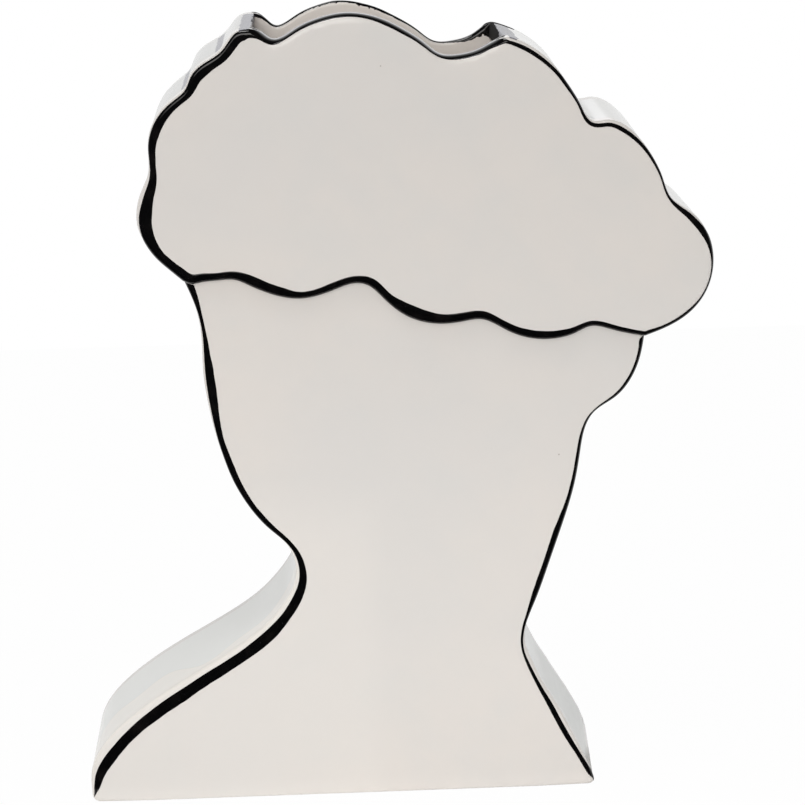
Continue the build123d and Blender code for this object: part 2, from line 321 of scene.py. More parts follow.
def outward(points: np.ndarray, closed: bool, passes: int = 10) -> np.ndarray:
    """Find the outward directions of a path that runs clockwise, eased round its corners.

    Args:
        points: Rows of x and z.
        closed: Whether the last point joins the first.
        passes: How often the directions are averaged with their neighbours.

    Returns:
        Unit rows of x and z.
    """
    ends = (points[-1:], points[:1]) if closed else (2 * points[:1] - points[1:2], 2 * points[-1:] - points[-2:-1])
    along = np.concatenate([points[1:], ends[1]]) - np.concatenate([ends[0], points[:-1]])
    normals = np.stack([-along[:, 1], along[:, 0]], axis=1)
    for _ in range(passes):
        normals /= np.linalg.norm(normals, axis=1)[:, None]
        if closed:
            before, after = np.roll(normals, 1, axis=0), np.roll(normals, -1, axis=0)
        else:
            before = np.concatenate([normals[:1], normals[:-1]])
            after = np.concatenate([normals[1:], normals[-1:]])
        normals = 0.5 * normals + 0.25 * before + 0.25 * after
    return normals / np.linalg.norm(normals, axis=1)[:, None]


def wander(count: int, reach: float, seed: int) -> np.ndarray:
    """Make an even, repeatable waver between minus one and one.

    Args:
        count: Number of values.
        reach: How many neighbouring values move together.
        seed: Which waver.

    Returns:
        The values.
    """
    margin = int(reach + 1)
    noise = np.random.RandomState(seed).normal(size=count + 8 * margin)
    kernel = np.exp(-0.5 * (np.arange(-3 * margin, 3 * margin + 1) / reach) ** 2)
    smooth = np.convolve(noise, kernel / kernel.sum(), "same")[4 * margin :][:count]
    return smooth / (np.abs(smooth).max() + 1e-9)


def spread(values: list[float], along: np.ndarray) -> np.ndarray:
    """Read values that are given at even steps from 0 to 1 at other places."""
    return np.interp(along, np.linspace(0.0, 1.0, len(values)), values)


def bend(first: np.ndarray, corner: np.ndarray, last: np.ndarray, turn: np.ndarray) -> np.ndarray:
    """Run a round bend from first to last past the corner."""
    return first * (1 - turn) ** 2 + 2 * corner * turn * (1 - turn) + last * turn**2


def nearest(spots: np.ndarray, others: np.ndarray) -> np.ndarray:
    """Find how far each spot lies from the nearest of the others."""
    return np.min(np.hypot(*(spots[:, None, :] - others[None, :, :]).transpose(2, 0, 1)), axis=1)


def place(path: np.ndarray, y: float | np.ndarray) -> np.ndarray:
    """Put rows of x and z at a depth y."""
    return np.stack([path[:, 0], np.broadcast_to(y, len(path)), path[:, 1]], axis=1)


def show(name: str, data: bpy.types.ID) -> bpy.types.Object:
    """Make an object of its data and put it in the scene."""
    shown = bpy.data.objects.new(name, data)
    bpy.context.scene.collection.objects.link(shown)
    return shown


def face_outwards(mesh: bpy.types.Mesh, weld: float = 0.0) -> None:
    """Turn all faces of a mesh outwards, after joining corners that lie closer than weld."""
    shape = bmesh.new()
    shape.from_mesh(mesh)
    if weld > 0.0:
        bmesh.ops.remove_doubles(shape, verts=shape.verts, dist=weld)
    bmesh.ops.recalc_face_normals(shape, faces=shape.faces)
    shape.to_mesh(mesh)
    shape.free()


@dataclass
class Outline:
    """The outline of the vase, sampled at about a millimetre."""

    width: float = 276.0
    height: float = 346.0
    step: float = 1.0
    foot_corner: float = 4.2
    foot_points: int = 60
    corner_points: int = 7
    hairline_ends: int = 4
    hairline_lift: float = 1.2
    peak_points: float = 5.0
    pull_points: float = 14.0
    paths: dict[tuple[Stretch, Side], np.ndarray] = field(default_factory=dict)
    drawn_in: dict[Stretch, np.ndarray] = field(default_factory=dict)

    def __post_init__(self) -> None:
        """Sample every stretch for both sides and ease the two peaks."""
        size = np.array([self.width, self.height])
        for stretch, shares in OUTLINE_SHARES.items():
            path = natural_spline(np.array(shares) * size, self.step)
            along = np.linspace(0.0, 1.0, len(path))
            clockwise = -1.0 if stretch in (Stretch.HAIR_LEFT, Stretch.FACE_LEFT) else 1.0
            away = outward(path, closed=False, passes=4) * clockwise
            self.drawn_in[stretch] = spread(FRONT_SHIFT.get(stretch, [0.0, 0.0]), along)
            self.paths[stretch, Side.FRONT] = path + away * self.drawn_in[stretch][:, None]
            self.paths[stretch, Side.BACK] = path + away * spread(BACK_SHIFT[stretch], along)[:, None]
        for side in Side:
            self._join(side)

    def _join(self, side: Side) -> None:
        """Bring the stretches of one side to shared corners and soften the peaks of the hair."""
        left, mouth, right = (self.paths[s, side] for s in (Stretch.HAIR_LEFT, Stretch.MOUTH, Stretch.HAIR_RIGHT))
        if side is Side.BACK:
            mouth += self._pull(mouth, BACK_PEAKS[Stretch.HAIR_LEFT])
            mouth += self._pull(mouth[::-1], BACK_PEAKS[Stretch.HAIR_RIGHT])[::-1]
            left += self._pull(left, BACK_PEAKS[Stretch.HAIR_LEFT])
            right += self._pull(right, BACK_PEAKS[Stretch.HAIR_RIGHT])
        crown = np.concatenate([left[::-1], mouth[1:], right[1:]])
        peaks = [len(left) - 1, len(left) + len(mouth) - 2]
        weight = np.zeros(len(crown))
        for peak in peaks:
            away = np.abs(np.arange(len(crown)) - peak)
            weight = np.maximum(weight, np.clip(1.5 - away / self.peak_points, 0.0, 1.0))
        for _ in range(6):
            eased = crown.copy()
            eased[1:-1] = 0.5 * crown[1:-1] + 0.25 * crown[2:] + 0.25 * crown[:-2]
            crown += (eased - crown) * weight[:, None]
        self.paths[Stretch.HAIR_LEFT, side] = crown[: peaks[0] + 1][::-1].copy()
        self.paths[Stretch.MOUTH, side] = crown[peaks[0] : peaks[1] + 1].copy()
        self.paths[Stretch.HAIR_RIGHT, side] = crown[peaks[1] :].copy()
        for face, hair in ((Stretch.FACE_LEFT, Stretch.HAIR_LEFT), (Stretch.FACE_RIGHT, Stretch.HAIR_RIGHT)):
            self.paths[face, side][0] = self.paths[hair, side][-1]
            self.paths[face, side][-1, 1] = 0.0

    def _pull(self, path: np.ndarray, start: tuple[float, float]) -> np.ndarray:
        """Find the shifts that bring a path's first point to a place, fading out along it."""
        fade = np.clip(1.0 - np.arange(len(path)) / self.pull_points, 0.0, 1.0)
        return (np.array(start) - path[0]) * (fade**2 * (3 - 2 * fade))[:, None]

    def get(self, stretch: Stretch, side: Side) -> np.ndarray:
        """Return the samples of one stretch."""
        return self.paths[stretch, side]

    def above(self, stretch: Stretch, side: Side, height: float) -> np.ndarray:
        """Return the samples of a stretch that lie above a height on the front, at either side."""
        return self.get(stretch, side)[self.get(stretch, Side.FRONT)[:, 1] > height]

    def trimmed(self, stretch: Stretch, side: Side) -> np.ndarray:
        """Return a cheek-and-shoulder stretch down to where the foot's rounded corner takes over."""
        return self.above(stretch, side, self.foot_corner * 0.95)

    def crossing(self, stretch: Stretch, side: Side, height: float) -> np.ndarray:
        """Find the point where a cheek-and-shoulder stretch comes down to a height."""
        path = self.get(stretch, side)[::-1]
        return np.array([np.interp(height, path[:, 1], path[:, 0]), height])

    def foot(self, side: Side) -> np.ndarray:
        """Draw the foot from the right corner to the left one, both rounded.

        Args:
            side: Front or back.

        Returns:
            Rows of x and z between the last point kept of the right shoulder and that of the left.
        """
        (right, start), (left, end) = (
            (self.trimmed(stretch, side)[-1], self.get(stretch, side)[-1])
            for stretch in (Stretch.FACE_RIGHT, Stretch.FACE_LEFT)
        )
        first, last = start - (self.foot_corner, 0.0), end + (self.foot_corner, 0.0)
        turn = np.linspace(0.0, 1.0, self.corner_points + 2)[1:-1, None]
        flat = np.linspace(first, last, self.foot_points)
        return np.concatenate([bend(right, start, first, turn), flat, bend(last, end, left, turn)])

    def face_loop(self, side: Side) -> tuple[np.ndarray, int, int]:
        """Draw the loop of a face panel, whose top runs a little way up behind the hair panel.

        Args:
            side: Front or back.

        Returns:
            Clockwise rows of x and z, and the numbers of points along the top and down the right.
        """
        line = self.get(Stretch.HAIRLINE, side) + (0.0, self.hairline_lift)
        top = line[self.hairline_ends : -self.hairline_ends]
        right, left = (self.trimmed(stretch, side) for stretch in (Stretch.FACE_RIGHT, Stretch.FACE_LEFT))
        return np.concatenate([top, right, self.foot(side), left[::-1]]), len(top), len(right)


@dataclass(frozen=True)
class Body:
    """Thicknesses of the clay and the sizes of its rounded edges."""

    depth: float = 74.0
    wall: float = 6.5
    base: float = 8.0
    relief: float = 3.0
    edge: float = 2.05
    pillow: float = 0.15
    pillow_width: float = 7.0
    foot_edge: float = 0.9
    hairline_reach: float = 4.4
    hairline_depth: float = 2.6
    mouth_depth: tuple[float, float] = (6.6, 7.6)
    lip_drop: float = 1.6
    lip: tuple[float, float] = (1.6, 1.3)
    foot_rim: float = 12.0
    recess: float = 2.0
    mouth_lip: float = 1.0

    @property
    def inner(self) -> float:
        """Distance of the panels' inner faces from the middle."""
        return self.depth / 2 - self.relief - self.wall

    @staticmethod
    def of(pair: tuple[float, float], side: Side) -> float:
        """Choose the front's or the back's of two sizes."""
        return pair[side is Side.BACK]

    def hair_rounding(self, sizes: tuple[int, ...], side: Side) -> tuple[np.ndarray, np.ndarray, np.ndarray]:
        """Size the rounding round the hair, wider at the mouth and along the hairline.

        Args:
            sizes: Numbers of points on the left of the hair, the mouth, the right and the hairline.
            side: Front or back.

        Returns:
            For each point the reach in from the edge, the depth behind the face and the share of the inner lip.
        """
        number = np.arange(sum(sizes))
        mouth, right, line = np.cumsum(sizes)[:3]
        at_mouth = np.clip(np.minimum(number - mouth - 1, right - 3 - number) / 4.0, 0.0, 1.0)
        at_line = np.clip(np.minimum(number - line - 1, len(number) - 2 - number) / 7.0, 0.0, 1.0)
        reach = self.edge + (self.hairline_reach - self.edge) * at_line
        depth = self.edge + (self.hairline_depth - self.edge) * at_line
        return reach, depth + (self.of(self.mouth_depth, side) - self.edge) * at_mouth, at_mouth


@dataclass
class Clay:
    """Collects faces by their corners and turns them into one closed piece."""

    name: str
    corners: list[np.ndarray] = field(default_factory=list)
    faces: list[list[int]] = field(default_factory=list)

    def add(self, points: np.ndarray) -> list[int]:
        """Keep rows of x, y and z and return their numbers."""
        first = sum(len(rows) for rows in self.corners)
        self.corners.append(np.asarray(points, dtype=float))
        return list(range(first, first + len(points)))

    def band(self, one: list[int], other: list[int]) -> None:
        """Join two loops of corners by a band of four-sided faces."""
        for number in range(len(one)):
            after = (number + 1) % len(one)
            self.faces.append([one[number], one[after], other[after], other[number]])

    def fill(self, loop: np.ndarray, levels: np.ndarray, level_at: Callable, step: float) -> None:
        """Close a loop by an even net of triangles.

        Args:
            loop: Rows of x and z round the loop.
            levels: The y of each of its points.
            level_at: Gives the y of rows of x and z inside it.
            step: Distance between the net's points.
        """
        low, high = loop.min(axis=0), loop.max(axis=0)
        across, up = np.meshgrid(np.arange(low[0], high[0], step), np.arange(low[1], high[1], step * 0.866))
        across = across + (np.arange(len(across)) % 2)[:, None] * step / 2
        net = np.stack([across.ravel(), up.ravel()], axis=1)
        net = net[nearest(net, loop) > step * 0.6]
        points = [Vector(row) for row in np.concatenate([loop, net])]
        found = delaunay_2d_cdt(points, [], [list(range(len(loop)))], 1, 1e-5)
        spots = np.array([tuple(spot) for spot in found[0]])
        depth = level_at(spots)
        for number, sources in enumerate(found[3]):
            for source in sources:
                if source < len(loop):
                    depth[number], spots[number] = levels[source], loop[source]
        rows = self.add(place(spots, depth))
        self.faces.extend([rows[corner] for corner in face] for face in found[2])

    def block(self, loops: list[np.ndarray], half: float) -> bpy.types.Object:
        """Run a block from a loop on the front to one on the back.

        Args:
            loops: Rows of x and z, of the front and of the back.
            half: Distance of both from the middle.

        Returns:
            The piece.
        """
        front, back = (self.add(place(loop, side.value * half)) for side, loop in zip(Side, loops))
        self.band(front, back)
        self.faces += [front, back[::-1]]
        return self.finish(sharp=40.0)

    def finish(self, sharp: float = 32.0) -> bpy.types.Object:
        """Make the piece.

        Args:
            sharp: Degrees past which an edge stays crisp.

        Returns:
            The object, in metres.
        """
        mesh = bpy.data.meshes.new(self.name)
        mesh.from_pydata(np.concatenate(self.corners) * MM, [], self.faces)
        face_outwards(mesh, weld=2e-6)
        mesh.shade_smooth()
        mesh.set_sharp_from_angle(angle=math.radians(sharp))
        return show(self.name, mesh)


@dataclass
class Panel:
    """A front or back panel, rounded over its outer edge and pillowed a little towards it."""

    outline: Outline
    body: Body
    side: Side

    def _build(
        self, name: str, loop: np.ndarray, face: float, reach: np.ndarray, depth: np.ndarray, lip: np.ndarray
    ) -> bpy.types.Object:
        """Build one panel from its loop.

        Args:
            name: The piece's name after the side.
            loop: Clockwise rows of x and z.
            face: Distance of the flat face from the middle.
            reach: How far in from the edge the rounding starts, at each point.
            depth: How far back from the face the rounding ends, at each point.
            lip: How much of the inner rounding at the mouth each point has, 0 to 1.

        Returns:
            The panel.
        """
        clay = Clay(f"{self.side.name.lower()}_{name}")
        body, sign = self.body, self.side.value
        normals = outward(loop, closed=True)
        inside = body.of(body.lip, self.side)
        rounded = (reach > 0.0) * 1.0
        turns = np.linspace(0.0, math.pi / 2, 9)
        section = [
            (lip * body.lip_drop * (1 - math.cos(turn)), body.inner + lip * inside * (1 - math.sin(turn)))
            for turn in turns[::-1]
        ] + [
            (reach * (1 - math.cos(turn)), face - rounded * body.pillow - depth * (1 - math.sin(turn)))
            for turn in turns
        ]
        rings = [clay.add(place(loop - normals * inset[:, None], sign * y)) for inset, y in section]
        for one, other in zip(rings, rings[1:]):
            clay.band(one, other)
        edge = loop - normals * reach[:, None]
        edged = edge[rounded > 0.5]

        def pillow(spots: np.ndarray) -> np.ndarray:
            """Sink the face gently towards its rounded edges."""
            share = np.clip(nearest(spots, edged) / body.pillow_width, 0.0, 1.0)
            return sign * (face - body.pillow * (1 - share) ** 2)

        clay.fill(edge, sign * (face - rounded * body.pillow), pillow, 2.0)
        rear = loop - normals * (lip * body.lip_drop)[:, None]
        level = sign * body.inner
        clay.fill(rear, np.full(len(rear), level), lambda spots: np.full(len(spots), level), 6.0)
        return clay.finish()

    def hair(self) -> bpy.types.Object:
        """Build the hair panel, which holds the front or the back edge of the mouth.

        Returns:
            The panel.
        """
        left, mouth, right, line = (
            self.outline.get(stretch, self.side)
            for stretch in (Stretch.HAIR_LEFT, Stretch.MOUTH, Stretch.HAIR_RIGHT, Stretch.HAIRLINE)
        )
        loop = np.concatenate([left[::-1], mouth[1:], right[1:], line[::-1][1:-1]])
        sizes = (len(left), len(mouth) - 1, len(right) - 1, len(line) - 2)
        return self._build("hair", loop, self.body.depth / 2, *self.body.hair_rounding(sizes, self.side))

    def face(self) -> bpy.types.Object:
        """Build the face panel, whose edges are crisper along the foot.

        Returns:
            The panel.
        """
        loop, top, right = self.outline.face_loop(self.side)
        rounding = np.full(len(loop), self.body.edge)
        rounding[:top] = 0.0
        flat = top + right + self.outline.corner_points
        number = np.arange(self.outline.foot_points)
        ease = np.clip(np.minimum(number, number[::-1]) / 6.0, 0.0, 1.0)
        rounding[flat : flat + len(number)] += (self.body.foot_edge - self.body.edge) * ease
        face = self.body.depth / 2 - self.body.relief
        return self._build("face", loop, face, rounding, rounding, np.zeros(len(loop)))


@dataclass
class Wall:
    """One ribbon of clay between the panels, from the base up to its end of the mouth."""

    outline: Outline
    body: Body
    left: bool

    def _profile(self, side: Side) -> np.ndarray:
        """Draw the edge of the ribbon where it meets one panel.

        Args:
            side: The panel's side.

        Returns:
            Rows of x and z up the outside and down the inside.
        """
        outline, body, sign = self.outline, self.body, 1 if self.left else -1
        cheek = Stretch.FACE_LEFT if self.left else Stretch.FACE_RIGHT
        hair = outline.get(Stretch.HAIR_LEFT if self.left else Stretch.HAIR_RIGHT, side)
        mouth = outline.get(Stretch.MOUTH, side)
        start = outline.crossing(cheek, side, body.base)
        shoulder = outline.above(cheek, side, body.base + 0.4)
        outer = np.concatenate([[start], shoulder[::-1], hair[::-1][1:]])
        inner = outer - outward(outer, closed=False, passes=16) * sign * body.wall
        inner[0, 1] = body.base
        end = hair[0, 0] + sign * body.mouth_lip
        corner = np.array([end, np.interp(end, mouth[:, 0], mouth[:, 1])])
        turn = np.linspace(0.0, 1.0, 8)[:, None]
        top = bend(hair[0] * 0.6 + corner * 0.4, corner, corner + (inner[-1] - corner) * 0.3, turn)
        return np.concatenate([outer[:-1], top, inner[::-1]])

    def build(self) -> bpy.types.Object:
        """Build the ribbon.

        Returns:
            The wall.
        """
        clay = Clay(f"{'left' if self.left else 'right'}_wall")
        return clay.block([self._profile(side) for side in Side], self.body.inner)


@dataclass
class Base:
    """The floor between the panels, hollowed underneath so that it stands on a rim."""

    outline: Outline
    body: Body

    def _profile(self, side: Side) -> np.ndarray:
        """Draw the edge of the base where it meets one panel.

        Args:
            side: The panel's side.

        Returns:
            Clockwise rows of x and z.
        """
        outline, body = self.outline, self.body
        right, left = (
            np.concatenate([
                [outline.crossing(stretch, side, body.base)],
                outline.trimmed(stretch, side)[len(outline.above(stretch, side, body.base - 0.2)) :],
            ])
            for stretch in (Stretch.FACE_RIGHT, Stretch.FACE_LEFT)
        )
        foot, corner = outline.foot(side), outline.corner_points
        start = foot[corner, 0] - body.foot_rim + outline.foot_corner
        end = foot[-corner - 1, 0] + body.foot_rim - outline.foot_corner
        notch = [(start, 0.0), (start, body.recess), (end, body.recess), (end, 0.0)]
        return np.concatenate([right, foot[: corner + 1], notch, foot[-corner - 1 :], left[::-1]])

    def build(self) -> bpy.types.Object:
        """Build the base.

        Returns:
            The base.
        """
        return Clay("base").block([self._profile(side) for side in Side], self.body.inner)


class Value:
    """A socket of a node tree that takes part in sums like a number."""

    def __init__(self, graph: "Graph", socket: bpy.types.NodeSocket) -> None:
        """Keep the tree and the socket."""
        self.graph = graph
        self.socket = socket

    def _sum(self, operation: str, *terms: "Value | float") -> "Value":
        """Add a Math node."""
        return self.graph.read("ShaderNodeMath", 0, dict(enumerate(terms)), operation=operation)

    def __add__(self, other: "Value | float") -> "Value":
        """Add."""
        return self._sum("ADD", self, other)

    __radd__ = __add__

    def __sub__(self, other: "Value | float") -> "Value":
        """Take away."""
        return self._sum("SUBTRACT", self, other)

    def __rsub__(self, other: float) -> "Value":
        """Take this from a number."""
        return self._sum("SUBTRACT", other, self)

    def __mul__(self, other: "Value | float") -> "Value":
        """Multiply."""
        return self._sum("MULTIPLY", self, other)

    __rmul__ = __mul__

    def __truediv__(self, other: "Value | float") -> "Value":
        """Divide."""
        return self._sum("DIVIDE", self, other)

    def __rtruediv__(self, other: float) -> "Value":
        """Divide a number by this."""
        return self._sum("DIVIDE", other, self)

    def __pow__(self, other: float) -> "Value":
        """Raise to a power."""
        return self._sum("POWER", self, other)

    def call(self, operation: str, *others: "Value | float") -> "Value":
        """Apply any other operation of the Math node."""
        return self._sum(operation, self, *others)

    def at_least(self, low: float) -> "Value":
        """Keep from falling below low."""
        return self.call("MAXIMUM", low)

    def at_most(self, high: float) -> "Value":
        """Keep from rising above high."""
        return self.call("MINIMUM", high)

    def ramp(self, low: float, high: float) -> "Value":
        """Rise smoothly from 0 at low to 1 at high."""
        inputs = {"Value": self, "From Min": low, "From Max": high}
        return self.graph.read("ShaderNodeMapRange", 0, inputs, interpolation_type="SMOOTHSTEP")


class Graph:
    """A node tree that is filled by plain calls."""

    def __init__(self, tree: bpy.types.NodeTree) -> None:
        """Keep the tree."""
        self.tree = tree

    @classmethod
    def of(cls, owner: bpy.types.Material | bpy.types.World) -> "Graph":
        """Start with the emptied node tree of a material or a world."""
        owner.use_nodes = True
        owner.node_tree.nodes.clear()
        return cls(owner.node_tree)

    def node(self, kind: str, inputs: dict | None = None, **settings: str) -> bpy.types.Node:
        """Add a node.

        Args:
            kind: The node's type.
            inputs: Numbers, tones or links by the sockets' names or numbers.
            settings: Its own properties, set first.

        Returns:
            The node.
        """
        node = self.tree.nodes.new(kind)
        for key, value in settings.items():
            setattr(node, key, value)
        for key, value in (inputs or {}).items():
            shown = [socket for socket in node.inputs if socket.enabled and socket.name == key]
            self.feed(node.inputs[key] if isinstance(key, int) else shown[0], value)
        return node

    def feed(self, socket: bpy.types.NodeSocket, value: object) -> None:
        """Link a socket to another one or set it."""
        value = value.value if isinstance(value, Tone) else value
        if isinstance(value, Value):
            self.tree.links.new(value.socket, socket)
        elif isinstance(value, bpy.types.NodeSocket):
            self.tree.links.new(value, socket)
        else:
            socket.default_value = (*value, 1.0) if socket.type == "RGBA" else value

    def out(self, node: bpy.types.Node, name: str | int = 0) -> Value:
        """Wrap one output of a node."""
        if isinstance(name, int):
            return Value(self, node.outputs[name])
        return Value(self, next(s for s in node.outputs if s.enabled and s.name == name))

    def read(self, kind: str, output: str | int = 0, inputs: dict | None = None, **settings: str) -> Value:
        """Add a node and wrap one of its outputs."""
        return self.out(self.node(kind, inputs, **settings), output)

    def blend(self, factor: Value | float, one: object, other: object) -> Value:
        """Mix two colours."""
        inputs = {"Factor": factor, "A": one, "B": other}
        return self.read("ShaderNodeMix", "Result", inputs, data_type="RGBA")

    def vector(self, operation: str, *terms: object) -> Value:
        """Add a Vector Math node."""
        node = self.node("ShaderNodeVectorMath", operation=operation)
        for number, term in enumerate(terms):
            self.feed(node.inputs["Scale"] if operation == "SCALE" and number == 1 else node.inputs[number], term)
        return self.out(node, 1 if operation == "DISTANCE" else 0)

    def join(self, x: object, y: object, z: object) -> Value:
        """Make a vector of three numbers."""
        return self.read("ShaderNodeCombineXYZ", 0, {"X": x, "Y": y, "Z": z})

    def parts(self, vector: Value) -> tuple[Value, Value, Value]:
        """Take a vector apart into x, y and z."""
        node = self.node("ShaderNodeSeparateXYZ", {"Vector": vector})
        return self.out(node, 0), self.out(node, 1), self.out(node, 2)

    def noise(self, spot: Value, scale: float, detail: float = 2.0) -> Value:
        """Read an even noise around one half."""
        inputs = {"Vector": spot, "Scale": scale, "Detail": detail, "Roughness": 0.5}
        return self.read("ShaderNodeTexNoise", "Fac", inputs)


# Where tones change, in metres: none at the first place and all at the second
BELOW_NECK = (0.15, 0.12)
LEFT_OF_MIDDLE = (0.0, -0.02)
Bumps = list[tuple[Value, float]]


@dataclass(frozen=True)
class Glaze:
    """A glossy glaze: its colour and its gloss."""

    name: str
    colour: tuple[float, float, float]
    roughness: float
    ior: float

    def coat(self, graph: Graph, spot: Value) -> tuple[Value, Value, Bumps]:
        """Give the colour, the roughness and the bumps, each with its height in metres."""
        raise NotImplementedError

    def material(self) -> bpy.types.Material:
        """Build the material.

        Returns:
            The material.
        """
        material = bpy.data.materials.new(self.name)
        graph = Graph.of(material)
        plain = {"Base Color": self.colour, "Roughness": self.roughness, "IOR": self.ior}
        shader = graph.node("ShaderNodeBsdfPrincipled", plain)
        graph.node("ShaderNodeOutputMaterial", {"Surface": shader.outputs[0]})
        colour, rough, bumps = self.coat(graph, graph.read("ShaderNodeTexCoord", "Object"))
        normal: dict[str, Value] = {}
        for noise, height in bumps:
            bump = {"Height": noise, "Strength": 1.0, "Distance": height}
            normal = {"Normal": graph.read("ShaderNodeBump", "Normal", bump | normal)}
        for name, value in ({"Base Color": colour, "Roughness": rough} | normal).items():
            graph.feed(shader.inputs[name], value)
        return material


@dataclass(frozen=True)
class WhiteGlaze(Glaze):
    """Milky white glaze that pools and thins a little, with rare pinholes and thin washes of paint, and with painted
    light, painted shade and painted reflections on the walls and inside.
    """

    name: str = "white_glaze"
    colour: tuple[float, float, float] = (0.79, 0.768, 0.741)
    roughness: float = 0.13
    ior: float = 1.5
    walls: bool = False

    def coat(self, graph: Graph, spot: Value) -> tuple[Value, Value, Bumps]:
        """Mix the glaze and lay the washes on it.

        Args:
            graph: The material's graph.
            spot: Object coordinates.

        Returns:
            The colour, the roughness and the bumps.
        """
        cloud, patch, fine, swell = (
            graph.noise(spot, scale, detail) for scale, detail in ((9.0, 3.0), (38.0, 4.0), (420.0, 2.0), (16.0, 1.0))
        )
        warm = graph.blend(cloud.ramp(0.3, 0.72), self.colour, Tone.WARM_GLAZE)
        colour = graph.blend(patch.ramp(0.35, 0.8) * 0.5, warm, Tone.COOL_GLAZE)
        cells = graph.node("ShaderNodeTexVoronoi", {"Vector": spot, "Scale": 55.0, "Randomness": 1.0})
        middle = graph.out(cells, "Distance").ramp(0.022, 0.012)
        chance = graph.read("ShaderNodeSeparateColor", 0, {"Color": graph.out(cells, "Color")})
        colour = graph.blend(middle * chance.ramp(0.93, 0.94) * 0.55, colour, Tone.PINHOLE)
        colour, dull = (self._walls if self.walls else self._inside)(graph, spot, colour)
        colour, painted = self._ends(graph, spot, colour)
        rough = patch * 0.06 + (self.roughness - 0.03) + dull + painted
        swing = 0.35 if self.walls else 1.0
        return colour, rough, [(swell, 0.0009 * swing), (patch, 0.00012 * swing), (fine, 0.000006)]

    @staticmethod
    def _inside(graph: Graph, spot: Value, colour: Value) -> tuple[Value, float]:
        """Warm and lighten the inner faces of the panels, seen through the mouth, as painted light, and paint the
        creamy reflection on the side of the left shoulder.

        Args:
            graph: The material's graph.
            spot: Object coordinates.
            colour: The colour so far.

        Returns:
            The new colour and how much duller it makes the glaze.
        """
        x, y, z = graph.parts(spot)
        # The inner faces: a warm tone, made lighter as painted light
        within = y.call("ABSOLUTE").ramp(0.0277, 0.0276) * z.ramp(0.010, 0.011)
        colour = graph.blend(within, colour, Tone.INSIDE)
        # Painted reflection: the creamy band on the face panel's side at the left shoulder
        shoulder = z.ramp(*BELOW_NECK) * x.ramp(*LEFT_OF_MIDDLE) * y.ramp(-0.0345, -0.0325) * y.ramp(-0.010, -0.020)
        return graph.blend(shoulder * 0.9, colour, Tone.SHOULDER_REFLECTION_CREAM), 0.0

    @staticmethod
    def _walls(graph: Graph, spot: Value, colour: Value) -> tuple[Value, Value]:
        """Add what the side walls alone have: a wavy creamy band along the front that is a painted reflection, painted
        shade on the upper left of the hair and on the right shoulder, a left-shoulder tone made lighter as painted
        light, and washes in the valleys, where those near the front on the right are painted reflection and painted
        shade.

        Args:
            graph: The material's graph.
            spot: Object coordinates.
            colour: The colour so far.

        Returns:
            The new colour and how much duller it makes the glaze.
        """
        x, y, z = graph.parts(spot)
        flat = graph.join(x, 0.0, z)
        waver = graph.noise(spot, 70.0) - 0.5
        scallop = graph.noise(flat, 22.0) - 0.5
        low = z.ramp(*BELOW_NECK) * x.ramp(*LEFT_OF_MIDDLE)
        # The wavy edge of the painted reflection band along the front of the left walls
        wave = (x * 74.0 + 8.7).call("COSINE") * 0.0095 + (x * 196.0 + 13.7).call("COSINE") * 0.004
        border = scallop * 0.03 * (1.0 - low) - 0.0205 + low * (wave + scallop * 0.008 + 0.0040)
        near = (y - border).ramp(0.0006, -0.0006) * x.ramp(0.0, -0.01)
        # Painted shade: darker walls on the upper left of the hair and on the right shoulder
        crest_shade = z.ramp(0.20, 0.28) * x.ramp(-0.045, -0.055)
        right_shoulder_shade = z.ramp(*BELOW_NECK) * x.ramp(0.02, 0.04)
        # Wall tone, lighter on the left shoulder as painted light; then the painted reflection band, its darker edge
        # and the painted shade
        for share, tone in (
            (0.8, graph.blend(low, Tone.HAIR_WHITE, Tone.SHOULDER_WHITE_PAINTED_LIGHT)),
            (near * 0.9, graph.blend(low, Tone.HAIR_REFLECTION_CREAM, Tone.SHOULDER_REFLECTION_CREAM)),
            (near * (1.0 - near) * low * 1.2, Tone.REFLECTION_EDGE_CREAM),
            (crest_shade * 0.32, Tone.CREST_PAINTED_SHADE),
            (right_shoulder_shade * 0.24, Tone.GREENISH_PAINTED_SHADE),
        ):
            colour = graph.blend(share, colour, tone)
        dull: Value | float = 0.0
        for valley in VALLEYS:
            away = graph.vector("DISTANCE", flat, (valley.x * MM, 0.0, valley.z * MM)) + waver * 0.0012
            stripe = away.ramp(valley.radius * 1.25 * MM, valley.radius * 0.8 * MM)
            # Near the front the stripe is painted reflection of the black line and painted shade
            if valley.front_reflection:
                stripe = stripe * (y + waver * 0.006).ramp(-0.0175, -0.034) * 0.9
            else:
                stripe = stripe * y.ramp(0.045, 0.030) * 0.95
                dull = stripe * 0.12 + dull
            colour = graph.blend(stripe, colour, Tone.VALLEY_WASH_AND_SHADE)
        return colour, dull

